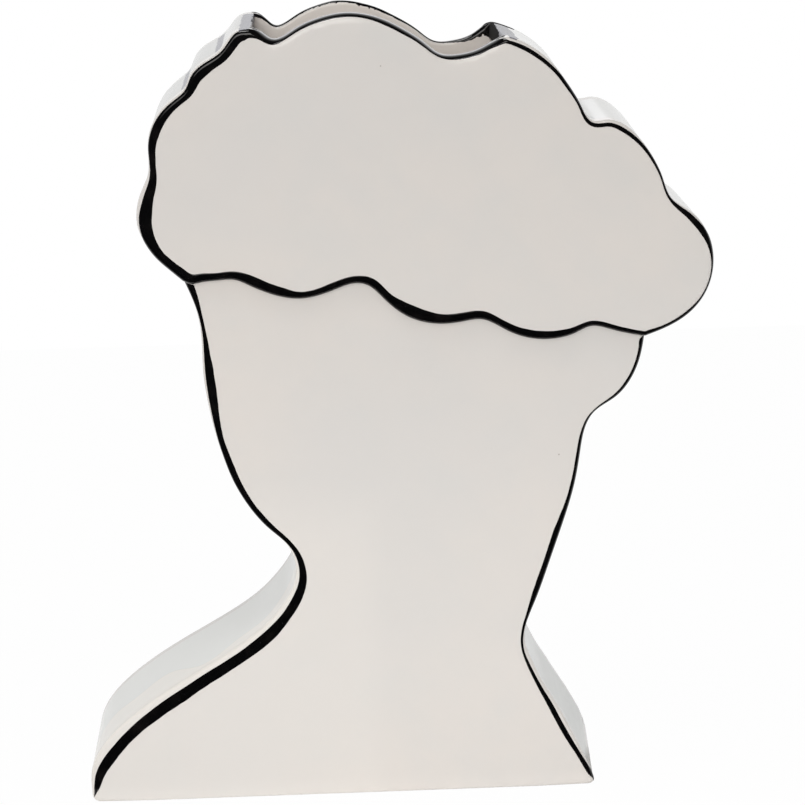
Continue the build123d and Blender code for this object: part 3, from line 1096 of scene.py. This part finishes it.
    def _ends(self, graph: Graph, spot: Value, colour: Value) -> tuple[Value, Value]:
        """Paint the two ends of the mouth: a thin lavender wash, and black where the brush pooled.

        Args:
            graph: The material's graph.
            spot: Object coordinates.
            colour: The colour so far.

        Returns:
            The new colour and how much duller the paint makes the glaze.
        """
        x, y, z = graph.parts(spot)
        waver, ripple, blot = (
            graph.noise(spot, scale, detail) - 0.5 for scale, detail in ((70.0, 2.0), (420.0, 3.0), (260.0, 2.0))
        )
        stops = (-0.040, 0.040) if self.walls else (-0.0545, 0.0525)
        left = (x + (waver * 0.0035 + ripple * 0.0012)).ramp(-0.0593, -0.0590) * x.ramp(stops[0], stops[0] - 0.0005)
        right = (x + (waver * 0.0045 + ripple * 0.0014)).ramp(0.0571, 0.0567) * x.ramp(stops[1], stops[1] + 0.0005)
        wash = ((left + right) * z.ramp(0.3225, 0.3245) * y.ramp(-0.0364, -0.0354)).at_most(1.0)
        if not self.walls:
            wash = wash * y.ramp(0.0, -0.010)
        pool = graph.vector("DISTANCE", graph.join(x, 0.0, z), (0.053, 0.0, 0.3335)) + blot * 0.004
        pool = pool.ramp(0.0076, 0.0073) * (y + blot * 0.02).ramp(-0.017, -0.015)
        if self.walls:
            pool = pool * (y * 0.02 + blot * 0.002 + 0.0503 - x).ramp(-0.0001, 0.0001)
        specks = (x - blot * 0.004).ramp(-0.0553, -0.0551) * x.ramp(-0.040, -0.0405) * blot.ramp(0.03, 0.05)
        specks = specks * z.ramp(0.3300, 0.3310) * y.ramp(-0.008, -0.004) * y.ramp(0.022, 0.018)
        black = (pool + specks).at_most(1.0)
        colour = graph.blend(black, graph.blend(wash, colour, Tone.LAVENDER), Tone.POOL)
        return colour, black * 0.85 + wash * 0.09


@dataclass(frozen=True)
class BlackGlaze(Glaze):
    """Black glaze brushed on: deep where it lies thick, a touch brown where the brush ran dry."""

    name: str = "black_glaze"
    colour: tuple[float, float, float] = (0.0015, 0.0015, 0.0018)
    roughness: float = 0.07
    ior: float = 1.55

    def coat(self, graph: Graph, spot: Value) -> tuple[Value, Value, Bumps]:
        """Mix the glaze.

        Args:
            graph: The material's graph.
            spot: Object coordinates.

        Returns:
            The colour, the roughness and the bumps.
        """
        streak = graph.noise(graph.vector("MULTIPLY", spot, (1.0, 3.0, 1.0)), 160.0, 4.0)
        fleck = graph.noise(spot, 900.0)
        colour = graph.blend(streak.ramp(0.45, 0.8), self.colour, Tone.DRY_BRUSH)
        colour = graph.blend(fleck.ramp(0.74, 0.80) * 0.5, colour, Tone.FLECK)
        return colour, streak * 0.05 + (self.roughness - 0.02), [(streak, 0.00003), (fleck, 0.000004)]


@dataclass
class BrushTree:
    """The node tree that turns the edge of a panel into a stroke of glaze lying over it."""

    columns: int = 26

    def _face(self, tree: bpy.types.GeometryNodeTree) -> dict[str, Value]:
        """Give the tree its inputs and its output.

        Args:
            tree: The new tree.

        Returns:
            The inputs by their names: the edge, the sizes in metres and the glaze.
        """
        sizes = {"Edge Rounding": 0.00205, "Pillow": 0.00015, "Pillow Width": 0.007, "Glaze": 0.0002, "Sink": 0.00008}
        tree.interface.new_socket("Edge", in_out="INPUT", socket_type="NodeSocketGeometry")
        for name, size in sizes.items():
            socket = tree.interface.new_socket(name, in_out="INPUT", socket_type="NodeSocketFloat")
            socket.default_value = size
        socket = tree.interface.new_socket("Columns", in_out="INPUT", socket_type="NodeSocketInt")
        socket.default_value = self.columns
        tree.interface.new_socket("Finish", in_out="INPUT", socket_type="NodeSocketMaterial")
        tree.interface.new_socket("Stroke", in_out="OUTPUT", socket_type="NodeSocketGeometry")
        graph = Graph(tree)
        start = graph.node("NodeGroupInput")
        return {name: graph.out(start, name) for name in ("Edge", *sizes, "Columns", "Finish")}

    def build(self) -> bpy.types.GeometryNodeTree:
        """Build the tree.

        The edge is a mesh of points in order. Each point holds its outward and facing directions, the outer and
        inner edge of the paint, and the reach and drop of the rounding under it.

        Returns:
            The tree.
        """
        tree = bpy.data.node_groups.new("brush_stroke", "GeometryNodeTree")
        given = self._face(tree)
        graph = Graph(tree)
        edge, radius = given["Edge"], given["Edge Rounding"]
        rows = graph.read("GeometryNodeAttributeDomainSize", "Point Count", {"Geometry": edge})
        across = given["Columns"] * 2 + 1
        grid = graph.read("GeometryNodeMeshGrid", 0, {"Vertices X": rows, "Vertices Y": across})
        number = graph.read("GeometryNodeInputIndex")
        row = (number / across + 0.0001).call("FLOOR")

        def at_row(source: Value, kind: str) -> Value:
            """Read a value of the edge at this row."""
            inputs = {"Geometry": edge, "Value": source, "Index": row}
            return graph.read("GeometryNodeSampleIndex", "Value", inputs, data_type=kind, domain="POINT")

        def held(name: str, kind: str) -> Value:
            """Read what the edge holds under a name."""
            source = graph.read("GeometryNodeInputNamedAttribute", "Attribute", {"Name": name}, data_type=kind)
            return at_row(source, kind)

        point = at_row(graph.read("GeometryNodeInputPosition"), "FLOAT_VECTOR")
        away, facing = (held(name, "FLOAT_VECTOR") for name in ("outward", "facing"))
        outer, inner, reach, drop = (held(name, "FLOAT") for name in ("outer", "inner", "reach", "drop"))
        past = (number - row * across) / given["Columns"] - 1.0
        eased = 0.5 - ((1.0 - past.call("ABSOLUTE")) * math.pi).call("COSINE") * 0.5
        run = outer + (inner - outer) * eased
        turned = ((run * -1.0) / radius).at_least(0.0).at_most(math.pi / 2)
        beyond = (run * -1.0 - radius * (math.pi / 2)).at_least(0.0)
        inset = radius * (1.0 - turned.call("SINE")) + run.at_least(0.0)
        turn = ((reach - inset) / reach).at_least(0.0).at_most(1.0).call("ARCSINE")
        fall = (1.0 - (inset - reach).at_least(0.0) / given["Pillow Width"]).at_least(0.0) ** 2.0
        depth = drop * (1.0 - turn.call("COSINE")) + beyond + given["Pillow"] * fall
        crown = 1.0 - (eased * 2.0 - 1.0).call("ABSOLUTE") ** 10.0
        height = crown * past.call("LESS_THAN", 0.0) * (given["Glaze"] + given["Sink"]) - given["Sink"]
        front_part = graph.vector("SCALE", facing, turn.call("COSINE") * reach)
        side_part = graph.vector("SCALE", away, turn.call("SINE") * drop)
        normal = graph.vector("NORMALIZE", graph.vector("ADD", front_part, side_part))
        spot = graph.vector("SUBTRACT", point, graph.vector("SCALE", away, inset))
        spot = graph.vector("SUBTRACT", spot, graph.vector("SCALE", facing, depth))
        spot = graph.vector("ADD", spot, graph.vector("SCALE", normal, height))
        stroke = grid
        for kind, inputs in (
            ("SetPosition", {"Position": spot}), ("MergeByDistance", {"Distance": 1e-6}), ("SetShadeSmooth", {}),
            ("RealizeInstances", {}), ("SetMaterial", {"Material": given["Finish"]}),
        ):
            stroke = graph.read(f"GeometryNode{kind}", 0, {"Geometry": stroke, **inputs})
        graph.node("NodeGroupOutput", {"Stroke": stroke})
        return tree


@dataclass
class Stroke:
    """One run of brushed glaze along an edge: its directions, both edges of the paint and the rounding under it."""

    points: np.ndarray
    outward: np.ndarray
    facing: float
    outer: np.ndarray
    inner: np.ndarray
    reach: np.ndarray
    drop: np.ndarray
    rounding: float
    pillow: float
    closed: bool = False
    glaze: float = 0.20

    def make(self, name: str, tree: bpy.types.GeometryNodeTree, finish: bpy.types.Material) -> bpy.types.Mesh:
        """Lay the stroke with the node tree.

        Args:
            name: Name of the mesh.
            tree: The brush's node tree.
            finish: The glaze.

        Returns:
            The mesh, closed and facing outwards.
        """
        order = np.arange(len(self.points) + self.closed) % len(self.points)
        mesh = bpy.data.meshes.new(name)
        mesh.from_pydata(self.points[order] * MM, [(number, number + 1) for number in range(len(order) - 1)], [])
        facing = np.tile((0.0, self.facing, 0.0), (len(self.points), 1))
        for label, rows in (("outward", self.outward), ("facing", facing)):
            mesh.attributes.new(label, "FLOAT_VECTOR", "POINT").data.foreach_set("vector", rows[order].ravel())
        for label in ("outer", "inner", "reach", "drop"):
            rows = getattr(self, label)[order] * MM
            mesh.attributes.new(label, "FLOAT", "POINT").data.foreach_set("value", rows)
        holder = show(name, mesh)
        modifier = holder.modifiers.new("brush", "NODES")
        modifier.node_group = tree
        sizes = {
            "Edge Rounding": self.rounding * MM, "Pillow": self.pillow * MM, "Glaze": self.glaze * MM, "Finish": finish,
        }
        for item in tree.interface.items_tree:
            if item.in_out == "INPUT" and item.name in sizes:
                modifier[item.identifier] = sizes[item.name]
        laid = bpy.data.meshes.new_from_object(holder.evaluated_get(bpy.context.evaluated_depsgraph_get()))
        holder.modifiers.remove(modifier)
        bpy.data.objects.remove(holder)
        face_outwards(laid)
        return laid


@dataclass
class Brushwork:
    """All black lines of the vase."""

    outline: Outline
    body: Body
    tree: bpy.types.GeometryNodeTree
    finish: bpy.types.Material

    def _moved(self, edge: np.ndarray, shift: np.ndarray) -> np.ndarray:
        """Keep a paint edge in its place where the panel's edge is drawn in.

        Args:
            edge: The paint edge, as in the tables of strokes.
            shift: How far the panel's edge stands in, zero or less.

        Returns:
            The paint edge as seen from the panel's edge.
        """
        radius = self.body.edge
        turned = np.clip(-edge / radius, 0.0, math.pi / 2)
        inset = radius * (1 - np.sin(turned)) + np.maximum(edge, 0.0) + shift
        over = -radius * np.arcsin(np.clip(1 - inset / radius, 0.0, 1.0))
        moved = np.where(inset > radius, inset - radius, over)
        return np.where((shift == 0.0) | (edge < -radius * 1.5), edge, moved)

    def _edges(self, stretch: Stretch, side: Side, seed: int) -> tuple[np.ndarray, np.ndarray]:
        """Spread a stroke's table over its samples, with the tremble of the brush.

        Args:
            stretch: Which stretch.
            side: Front or back.
            seed: Which tremble, on the front.

        Returns:
            The outer and the inner edge at each sample.
        """
        table = STROKES[stretch].table()
        shift = self.outline.drawn_in[stretch] * (side is Side.FRONT)
        count = len(shift)
        seed += 50 * (side is Side.BACK)
        kernel = np.array([1, 4, 6, 4, 1]) / 16
        edges = []
        for column in (1, 2):
            rows = np.interp(np.linspace(0.0, 1.0, count), table[:, 0], table[:, column])
            for _ in range(3):
                rows = np.convolve(np.pad(rows, 2, "edge"), kernel, "valid")
            edges.append(self._moved(rows, shift))
        outer, inner = edges[0], edges[1] + 0.25
        wide = np.clip((inner - outer) / 5.0, 0.3, 1.0)
        inner = inner + wide * (0.16 * wander(count, 2.2, seed) + 0.09 * wander(count, 0.8, seed + 1))
        return outer + wide * 0.10 * wander(count, 2.5, seed + 2), inner

    def _piece(self, name: str, strokes: list[Stroke]) -> bpy.types.Object:
        """Lay strokes and join them into one piece.

        Args:
            name: The piece's name.
            strokes: The strokes.

        Returns:
            The piece.
        """
        shape = bmesh.new()
        for number, stroke in enumerate(strokes):
            shape.from_mesh(stroke.make(f"{name}_{number}", self.tree, self.finish))
        joined = bpy.data.meshes.new(name)
        shape.to_mesh(joined)
        shape.free()
        joined.materials.clear()
        joined.materials.append(self.finish)
        joined.shade_smooth()
        return show(name, joined)

    def hair_line(self, side: Side) -> bpy.types.Object:
        """Paint the closed line round the hair.

        Args:
            side: Front or back.

        Returns:
            The piece.
        """
        runs = []
        for number, stretch in enumerate((Stretch.HAIR_LEFT, Stretch.MOUTH, Stretch.HAIR_RIGHT, Stretch.HAIRLINE)):
            run = np.column_stack([self.outline.get(stretch, side), *self._edges(stretch, side, 10 * number)])
            runs.append((run[::-1] if stretch in (Stretch.HAIR_LEFT, Stretch.HAIRLINE) else run)[:-1])
        loop = np.concatenate(runs)
        path = loop[:, :2]
        kernel = np.array([1, 2, 1]) / 4
        outer, inner = (np.convolve(np.pad(loop[:, column], 1, "wrap"), kernel, "valid") for column in (2, 3))
        left, mouth, right, line = (len(run) for run in runs)
        reach, drop, _ = self.body.hair_rounding((left + 1, mouth, right, line - 1), side)
        stroke = Stroke(
            place(path, side.value * self.body.depth / 2), place(outward(path, closed=True), 0.0),
            float(side.value), outer, inner, reach, drop, self.body.edge, self.body.pillow, closed=True,
        )
        return self._piece(f"{side.name.lower()}_hair_stroke", [stroke])

    def face_lines(self, side: Side) -> bpy.types.Object:
        """Paint the lines down the cheeks, the neck and the shoulders, which taper off at the foot.

        Args:
            side: Front or back.

        Returns:
            The piece.
        """
        loop, top, _ = self.outline.face_loop(side)
        away = outward(loop, closed=True)
        face = self.body.depth / 2 - self.body.relief
        strokes = []
        for seed, stretch in ((200, Stretch.FACE_LEFT), (210, Stretch.FACE_RIGHT)):
            edges = self._edges(stretch, side, seed)
            count = int(round(STROKES[stretch].table()[-1, 0] * (len(edges[0]) - 1)))
            run = np.arange(top, top + count) if stretch is Stretch.FACE_RIGHT else -1 - np.arange(count)
            outer, inner = (edge[:count] for edge in edges)
            middle = (outer + inner) / 2
            taper = np.clip(np.arange(count)[::-1] / 5.0, 0.0, 1.0) ** 0.6
            even = np.full(count, self.body.edge)
            strokes.append(Stroke(
                place(loop[run], side.value * face), place(away[run], 0.0), float(side.value),
                middle + (outer - middle) * taper, middle + (inner - middle) * taper,
                even, even, self.body.edge, self.body.pillow,
            ))
        return self._piece(f"{side.name.lower()}_face_strokes", strokes)

    @staticmethod
    def _lap(side: Side, share: np.ndarray) -> np.ndarray:
        """Find how far down the inside of the mouth the paint laps, with its ragged end.

        Args:
            side: Front or back.
            share: Places along the mouth, 0 to 1.

        Returns:
            The lap at each place.
        """
        count = len(share)
        seed = 300 if side is Side.FRONT else 340
        lap = np.interp(share, *np.array(LAPS[side]).T)
        ragged = 0.22 * wander(count, 4.0, seed) + 0.14 * wander(count, 1.0, seed + 1)
        if side is Side.BACK:
            hairs = np.clip(wander(count, 0.7, seed + 2), 0.0, 1.0) ** 2
            ragged = ragged + hairs * np.interp(share, (0.2, 0.36, 0.46, 0.56), (0.2, 1.6, 1.4, 0.1))
            ragged = ragged + 0.5 * wander(count, 1.6, seed + 3) * np.interp(share, (0.86, 0.93), (0, 1))
        return np.maximum(lap + ragged * (0.4 + 0.6 * np.clip(lap, 0, 1)), 0.12)

    def rim(self) -> bpy.types.Object:
        """Paint both edges of the mouth, over their tops and a little way down inside.

        Returns:
            The piece.
        """
        body, margin = self.body, 7
        strokes = []
        for side in Side:
            left, coarse, right = (
                self.outline.get(stretch, side) for stretch in (Stretch.HAIR_LEFT, Stretch.MOUTH, Stretch.HAIR_RIGHT)
            )
            whole = np.concatenate([left[margin:0:-1], coarse, right[1 : margin + 1]])
            normals = outward(whole, closed=False)[margin:-margin]
            fine = np.linspace(0.5, len(coarse) - 1.5, (len(coarse) - 2) * 3 + 1)
            path, away = (
                np.stack([np.interp(fine, np.arange(len(rows)), column) for column in rows.T], axis=1)
                for rows in (coarse, normals)
            )
            lap = self._lap(side, fine / (len(coarse) - 1))
            within = body.lip_drop * np.arcsin(1.0 - np.clip(lap / body.lip_drop, 0.0, 1.0))
            inner = np.maximum(lap - body.lip_drop, 0.0) - within
            lip = body.of(body.lip, side)
            weight = np.clip(np.minimum(fine - 1, len(coarse) - 2 - fine) / 4.0, 0.03, 1.0)
            across = body.depth / 2 - body.pillow - body.of(body.mouth_depth, side) - body.inner - lip
            outer = np.full(len(fine), -(across + body.lip_drop * math.pi / 2 + 0.7))
            strokes.append(Stroke(
                place(path, side.value * body.inner), place(away, 0.0), -float(side.value),
                outer, inner, body.lip_drop * weight, lip * weight, body.lip_drop, 0.0,
            ))
        return self._piece("mouth_rim_glaze", strokes)


@dataclass(frozen=True)
class Softbox:
    """A lamp: its place and aim in metres, its size, its power in watts and its colour."""

    name: str
    spot: tuple[float, float, float]
    aim: tuple[float, float, float]
    size: tuple[float, float]
    power: float
    colour: tuple[float, float, float]

    def hang(self) -> None:
        """Put the lamp in the scene. A fill doesn't show in the gloss."""
        data = bpy.data.lights.new(self.name, "AREA")
        data.shape = "RECTANGLE"
        data.size, data.size_y = self.size
        data.energy = self.power
        data.color = self.colour
        lamp = show(self.name, data)
        lamp.location = self.spot
        lamp.rotation_euler = (Vector(self.aim) - Vector(self.spot)).to_track_quat("-Z", "Y").to_euler()
        lamp.visible_camera = False
        lamp.visible_glossy = "fill" not in self.name


SOFTBOXES = (
    Softbox("overhead_softbox", (-0.22, -0.28, 1.35), (0.0, 0.0, 0.2), (0.5, 0.3), 3.3, (1.0, 0.99, 0.98)),
    Softbox("low_fill", (0.0, -0.28, 0.05), (0.0, 0.0, 0.03), (1.0, 0.1), 0.35, (1.0, 0.975, 0.955)),
    Softbox("front_softbox", (-0.35, -1.9, 0.85), (0.0, 0.0, 0.15), (0.9, 0.8), 6.3, (1.0, 0.965, 0.94)),
    Softbox("upper_fill", (-0.7, -1.25, 1.25), (0.0, 0.0, 0.2), (0.5, 0.4), 3.0, (1.0, 0.97, 0.945)),
    Softbox("back_softbox", (0.05, 2.2, 0.86), (0.0, 0.0, 0.25), (1.5, 0.36), 0.9, (0.93, 0.93, 1.0)),
)


@dataclass(frozen=True)
class Studio:
    """The room, the floor and the camera at the photograph's angle, in metres, degrees and pixels."""

    camera_spot: tuple[float, float, float] = (-0.02542, -1.0756, 0.4391)
    pitch: float = 14.01
    yaw: float = -1.65
    roll: float = -1.47
    focal: float = 2500.0
    frame_width: float = 805.0
    sensor: float = 36.0

    def camera(self) -> None:
        """Set up the camera."""
        pitch, yaw, roll = (math.radians(angle) for angle in (self.pitch, self.yaw, self.roll))
        turn = Matrix.Rotation(yaw, 3, "Z")
        right = turn @ Vector((1.0, 0.0, 0.0))
        ahead = turn @ Vector((0.0, math.cos(pitch), -math.sin(pitch)))
        above = turn @ Vector((0.0, math.sin(pitch), math.cos(pitch)))
        side = right * math.cos(roll) + above * math.sin(roll)
        head = above * math.cos(roll) - right * math.sin(roll)
        data = bpy.data.cameras.new("camera")
        data.sensor_width = self.sensor
        data.sensor_fit = "HORIZONTAL"
        data.lens = self.focal / self.frame_width * self.sensor
        data.clip_start = 0.01
        eye = show("camera", data)
        axes = Matrix((side, head, -ahead)).transposed().to_4x4()
        eye.matrix_world = Matrix.Translation(self.camera_spot) @ axes
        bpy.context.scene.camera = eye

    @staticmethod
    def world() -> None:
        """Make the room: white to the eye, brighter behind the vase than in front of it."""
        world = bpy.data.worlds.new("room")
        bpy.context.scene.world = world
        graph = Graph.of(world)
        ray = graph.node("ShaderNodeLightPath")
        seen, shining, through = (graph.out(ray, f"Is {kind} Ray") for kind in ("Camera", "Glossy", "Transmission"))
        _, back, up = graph.parts(graph.read("ShaderNodeTexCoord", "Generated"))
        behind = back.ramp(-0.15, 0.25)
        shine = behind * up.ramp(0.75, 0.18) * 0.92 + 0.03
        soft = up.ramp(0.1, -0.5) * (1.0 - behind) * 0.30 + 0.39
        clear = seen.call("MAXIMUM", through)
        level = clear + (1.0 - clear) * (shining * shine + (1.0 - shining) * soft)
        light = graph.node("ShaderNodeBackground", {"Color": Tone.WHITE, "Strength": level})
        graph.node("ShaderNodeOutputWorld", {"Surface": light.outputs[0]})

    @staticmethod
    def floor() -> None:
        """Lay a pale table top that keeps the vase's shadow."""
        clay = Clay("table_top")
        clay.faces.append(clay.add(np.array([(-900, -650, 0), (900, -650, 0), (900, 900, 0), (-900, 900, 0)])))
        piece = clay.finish()
        material = bpy.data.materials.new("table_top")
        graph = Graph.of(material)
        ray = graph.node("ShaderNodeLightPath")
        seen, shining = (graph.out(ray, f"Is {kind} Ray") for kind in ("Camera", "Glossy"))
        _, back, _ = graph.parts(graph.read("ShaderNodeTexCoord", "Object"))
        tone = graph.blend(shining * back.ramp(-0.042, -0.052), Tone.TABLE, Tone.TABLE_IN_GLOSS)
        diffuse = graph.node("ShaderNodeBsdfDiffuse", {"Color": tone})
        glow = graph.node("ShaderNodeEmission", {"Color": Tone.WHITE, "Strength": 1.0})
        lift = (seen * 0.98).call("MAXIMUM", shining * back.ramp(0.0, 0.02) * 0.78)
        mixed = graph.node("ShaderNodeMixShader", {0: lift, 1: diffuse.outputs[0], 2: glow.outputs[0]})
        graph.node("ShaderNodeOutputMaterial", {"Surface": mixed.outputs[0]})
        piece.data.materials.append(material)


def stand_for(piece: bpy.types.Object, node: str) -> None:
    """Put a finished piece in the place of a node of the frame and report it.

    Args:
        piece: The piece.
        node: The node that it stands for.
    """
    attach(piece, "root")
    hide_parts(node)
    log.info("%s stands for %s with %d faces", piece.name, node, len(piece.data.polygons))


def main() -> None:
    """Build and dress the vase, then the studio round it."""
    logging.basicConfig(level=logging.INFO, format="%(name)s: %(message)s")
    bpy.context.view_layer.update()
    bpy.context.scene.view_settings.view_transform = "Standard"
    outline, body = Outline(), Body()
    white, black = WhiteGlaze().material(), BlackGlaze().material()
    walls = WhiteGlaze(name="white_wall_glaze", walls=True).material()
    clay = []
    for side in Side:
        name, panel = side.name.lower(), Panel(outline, body, side)
        clay += [(panel.hair(), f"{name}_hair_panel", white), (panel.face(), f"{name}_face_panel", white)]
    clay += [
        (Wall(outline, body, left=True).build(), "left_side_wall", walls),
        (Wall(outline, body, left=False).build(), "right_side_wall", walls),
        (Base(outline, body).build(), "base_slab", white),
    ]
    for piece, node, glaze in clay:
        piece.data.materials.append(glaze)
        stand_for(piece, node)
    brush = Brushwork(outline, body, BrushTree().build(), black)
    for side in Side:
        stand_for(brush.hair_line(side), f"{side.name.lower()}_hair_line")
        stand_for(brush.face_lines(side), f"{side.name.lower()}_face_lines")
    stand_for(brush.rim(), "rim_glaze")
    studio = Studio()
    studio.world()
    studio.floor()
    for softbox in SOFTBOXES:
        softbox.hang()
    studio.camera()


if __name__ == "__main__":
    main()
